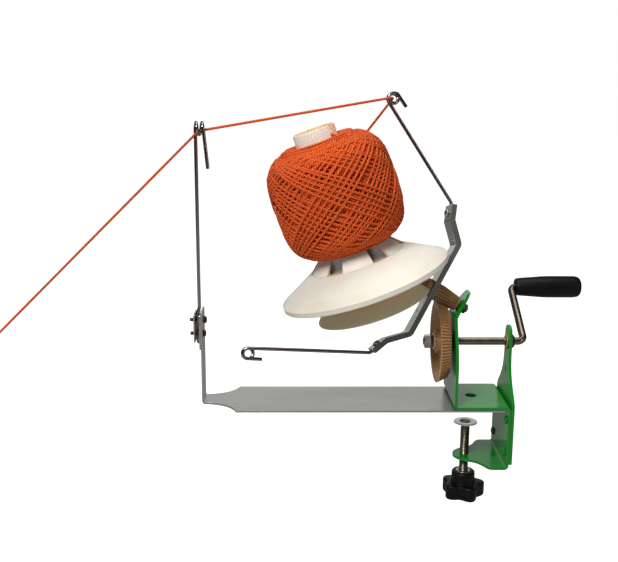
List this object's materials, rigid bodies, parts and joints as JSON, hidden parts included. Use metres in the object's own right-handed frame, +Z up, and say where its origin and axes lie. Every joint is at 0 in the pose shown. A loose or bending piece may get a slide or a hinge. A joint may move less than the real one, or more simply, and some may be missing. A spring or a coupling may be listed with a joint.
{
  "type": "ball winder",
  "caption": "Hand-cranked metal ball winder: a tilted flyer winds yarn onto a cone-skirted spindle, above a table clamp with a long arm and a wire yarn guide.",
  "frame": {"origin": "middle of the frame's underside, which rests on the table, straight above the clamp screw", "axes": "+Z up, -Z into the table; +X along the crank shaft towards the handle, -X towards the yarn guide; +Y away from the user"},
  "size_m": [0.6479, 0.1776, 0.4277],
  "materials": {
    "green": "gloss",
    "zinc": "satin",
    "chrome": "polished",
    "steel": "satin",
    "bronze": "satin",
    "nylon": "satin",
    "cream": "satin",
    "black": "satin",
    "dark": "satin",
    "wool": "matte"
  },
  "bodies": {
    "frame": {"base_strip": "zinc", "clamp_frame": "green", "outer_plate": "green", "rivet_1": "green", "rivet_2": "green", "rivet_3": "green", "rivet_4": "green", "shaft_bush_left": "bronze", "shaft_bush_right": "bronze", "guide_wire": "chrome", "guide_clamp_inner": "zinc", "guide_clamp_outer": "zinc", "guide_screw_upper": "dark", "guide_screw_lower": "dark", "flyer_axle": "steel", "axle_washer": "dark", "axle_nut": "dark", "thrust_washer_rear": "steel", "thrust_washer_front": "steel", "gear_housing": "cream", "spindle_post": "steel", "post_washer": "steel", "post_nut": "steel", "post_cap": "chrome", "yarn_feed": "wool", "yarn_knot": "wool"},
    "crank": {"crank_rod": "steel", "crank_collar": "dark", "drive_gear": "nylon", "gear_washer": "chrome", "spring_washer": "steel", "gear_nut": "chrome"},
    "grip": {"crank_handle": "black"},
    "flyer": {"flyer_strip": "zinc", "drive_pinion": "nylon", "nose_pinion": "nylon", "flyer_wire_upper": "chrome", "flyer_wire_lower": "chrome", "wire_screw_upper": "zinc", "wire_screw_lower": "zinc", "yarn_span": "wool"},
    "spindle": {"spindle_core": "cream", "spindle_skirt": "cream", "ring_gear": "nylon", "spindle_bush_lower": "bronze", "spindle_bush_upper": "bronze"},
    "cake": {"yarn_cake": "wool"},
    "pad": {"clamp_pad": "chrome"},
    "screw": {"clamp_screw": "steel", "clamp_knob": "black", "knob_insert": "zinc"}
  },
  "joints": [
    {"name": "crank_spin", "type": "hinge", "parent": "frame", "child": "crank", "pos_m": [0, 0, 0.065], "axis": [1, 0, 0], "continuous": true},
    {"name": "grip_spin", "type": "hinge", "parent": "crank", "child": "grip", "pos_m": [0.1, 0.07188, 0.1065], "axis": [1, 0, 0], "continuous": true},
    {"name": "flyer_spin", "type": "hinge", "parent": "frame", "child": "flyer", "pos_m": [-0.04047, 0, 0.12062], "axis": [-0.8572, 0, 0.515], "continuous": true, "deforming": ["yarn_span"]},
    {"name": "spindle_spin", "type": "hinge", "parent": "frame", "child": "spindle", "pos_m": [-0.12447, 0, 0.1711], "axis": [-0.3338, 0, 0.9426], "continuous": true},
    {"name": "cake_lift", "type": "slide", "parent": "spindle", "child": "cake", "axis": [-0.3338, 0, 0.9426], "range_m": [0, 0.15]},
    {"name": "pad_travel", "type": "slide", "parent": "frame", "child": "pad", "axis": [0, 0, 1], "range_m": [-0.027, 0.015]},
    {"name": "screw_turn", "type": "hinge", "parent": "pad", "child": "screw", "pos_m": [0, 0, -0.06], "axis": [0, 0, 1], "continuous": true}
  ],
  "couplings": [
    {"joint": "flyer_spin", "follows": "crank_spin", "ratio": 5},
    {"joint": "spindle_spin", "follows": "crank_spin", "ratio": 0.71429},
    {"joint": "screw_turn", "follows": "pad_travel", "rad_per_m": 4188.8}
  ]
}
